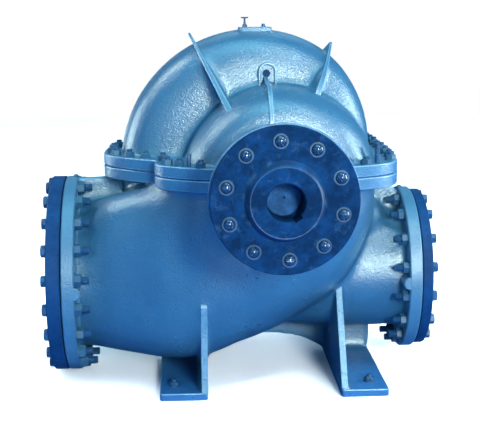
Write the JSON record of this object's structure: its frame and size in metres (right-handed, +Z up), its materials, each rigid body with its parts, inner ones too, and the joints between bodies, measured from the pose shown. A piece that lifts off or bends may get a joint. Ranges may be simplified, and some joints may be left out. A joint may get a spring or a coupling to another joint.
{
  "type": "horizontal split case pump",
  "caption": "Horizontal split case double suction pump with cast casing halves, feet, blanked side nozzles, a pin coupling half on its shaft and a vent cock on top.",
  "frame": {"origin": "on the floor under the middle of the whole pump, coupling included", "axes": "+X from the suction nozzle to the discharge nozzle, +Y along the shaft away from the coupling, +Z up"},
  "size_m": [1.3052, 1.62, 1.22],
  "materials": {
    "casing_paint": "blue paint on rough sand-cast iron, satin",
    "blind_flange_paint": "dark blue paint, satin",
    "gasket_sheet": "matt",
    "coupling_iron": "turned and blued, lightly worn",
    "pin_steel": "polished",
    "shaft_steel": "turned",
    "gland_bronze": "dull",
    "plug_steel": "painted over, satin"
  },
  "bodies": {
    "casing": {"lower_casing": "casing_paint", "upper_casing": "casing_paint", "suction_side_gasket": "gasket_sheet", "discharge_side_gasket": "gasket_sheet", "suction_flange_gasket": "gasket_sheet", "discharge_flange_gasket": "gasket_sheet", "suction_blind_flange": "blind_flange_paint", "discharge_blind_flange": "blind_flange_paint", "drive_end_bearing_bracket": "casing_paint", "non_drive_end_bearing_bracket": "casing_paint", "drive_end_bearing_cap": "casing_paint", "non_drive_end_bearing_cap": "casing_paint", "drive_end_bearing_cover": "casing_paint", "non_drive_end_bearing_cover": "casing_paint", "drive_end_gland_follower": "gland_bronze", "non_drive_end_gland_follower": "gland_bronze", "vent_plate": "casing_paint", "vent_cock_body": "plug_steel", "priming_plug": "plug_steel", "casing_tapping_plug": "plug_steel", "suction_flange_plug": "plug_steel", "discharge_flange_plug": "plug_steel"},
    "rotor": {"shaft": "shaft_steel", "coupling_half": "coupling_iron", "coupling_pin_01": "pin_steel", "coupling_pin_02": "pin_steel", "coupling_pin_03": "pin_steel", "coupling_pin_04": "pin_steel", "coupling_pin_05": "pin_steel", "coupling_pin_06": "pin_steel", "coupling_pin_07": "pin_steel", "coupling_pin_08": "pin_steel", "coupling_pin_09": "pin_steel", "coupling_pin_10": "pin_steel", "drive_end_shaft_sleeve": "shaft_steel", "non_drive_end_shaft_sleeve": "shaft_steel", "drive_end_thrower_ring": "shaft_steel", "non_drive_end_thrower_ring": "shaft_steel"},
    "vent_handle": {"vent_cock_handle": "plug_steel"}
  },
  "joints": [
    {"name": "rotor_spin", "type": "hinge", "parent": "casing", "child": "rotor", "pos_m": [0.093, 0.075, 0.732], "axis": [0, 1, 0], "continuous": true},
    {"name": "vent_cock_turn", "type": "hinge", "parent": "casing", "child": "vent_handle", "pos_m": [0.029, 0.075, 1.1971], "axis": [0, 0, 1], "range_deg": [0, 90]}
  ]
}
